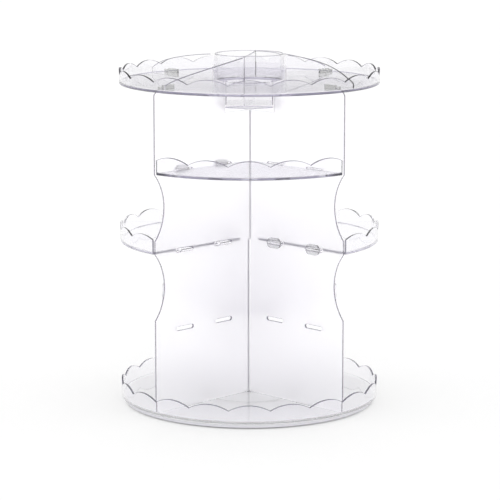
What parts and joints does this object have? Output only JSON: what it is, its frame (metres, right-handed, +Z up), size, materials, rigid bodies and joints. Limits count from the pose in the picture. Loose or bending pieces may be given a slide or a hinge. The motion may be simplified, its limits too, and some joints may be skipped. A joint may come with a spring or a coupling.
{
  "type": "rotating makeup organizer",
  "caption": "Clear round carousel for cosmetics: scalloped base and top trays, quarter shelves hooked into crossed frosted boards, a brush cup, curved dividers and a turning ball-ring foot.",
  "frame": {"origin": "on the turning axis, level with the undersides of the foot pads", "axes": "+Z up along the turning axis, -Y towards the quarter that holds the highest shelf, which is the front in the picture, +X to the right seen from the front"},
  "size_m": [0.23, 0.23, 0.3123],
  "materials": {
    "clear_plastic": "clear glossy polystyrene with a faint cool tint",
    "frosted_plastic": "frosted translucent polystyrene sheet",
    "white_plastic": "white acetal or polystyrene with a fine grain",
    "steel": "bright zinc-plated or polished steel",
    "soft_pad": "translucent soft rubber"
  },
  "bodies": {
    "foot": {"foot_plate": "white_plastic", "foot_pad_1": "soft_pad", "foot_pad_2": "soft_pad", "foot_pad_3": "soft_pad", "foot_pad_4": "soft_pad", "pivot_bush": "white_plastic"},
    "ball_ring": {"ball_cage": "white_plastic", "bearing_ball_01": "steel", "bearing_ball_02": "steel", "bearing_ball_03": "steel", "bearing_ball_04": "steel", "bearing_ball_05": "steel", "bearing_ball_06": "steel", "bearing_ball_07": "steel", "bearing_ball_08": "steel", "bearing_ball_09": "steel", "bearing_ball_10": "steel", "bearing_ball_11": "steel", "bearing_ball_12": "steel"},
    "carousel": {"base_tray": "clear_plastic", "cross_board_a": "frosted_plastic", "cross_board_b": "frosted_plastic", "shelf_front": "clear_plastic", "shelf_right": "clear_plastic", "shelf_back": "clear_plastic", "shelf_left": "clear_plastic", "top_tray": "clear_plastic", "top_divider": "clear_plastic", "brush_cup": "clear_plastic", "cup_partition": "clear_plastic", "pivot_washer": "steel", "pivot_screw": "steel"}
  },
  "joints": [
    {"name": "turntable_spin", "type": "hinge", "parent": "foot", "child": "carousel", "pos_m": [0, 0, 0.0041], "axis": [0, 0, 1], "continuous": true},
    {"name": "ball_ring_spin", "type": "hinge", "parent": "foot", "child": "ball_ring", "pos_m": [0, 0, 0.0041], "axis": [0, 0, 1], "continuous": true}
  ],
  "couplings": [
    {"joint": "ball_ring_spin", "follows": "turntable_spin", "ratio": 0.5}
  ]
}
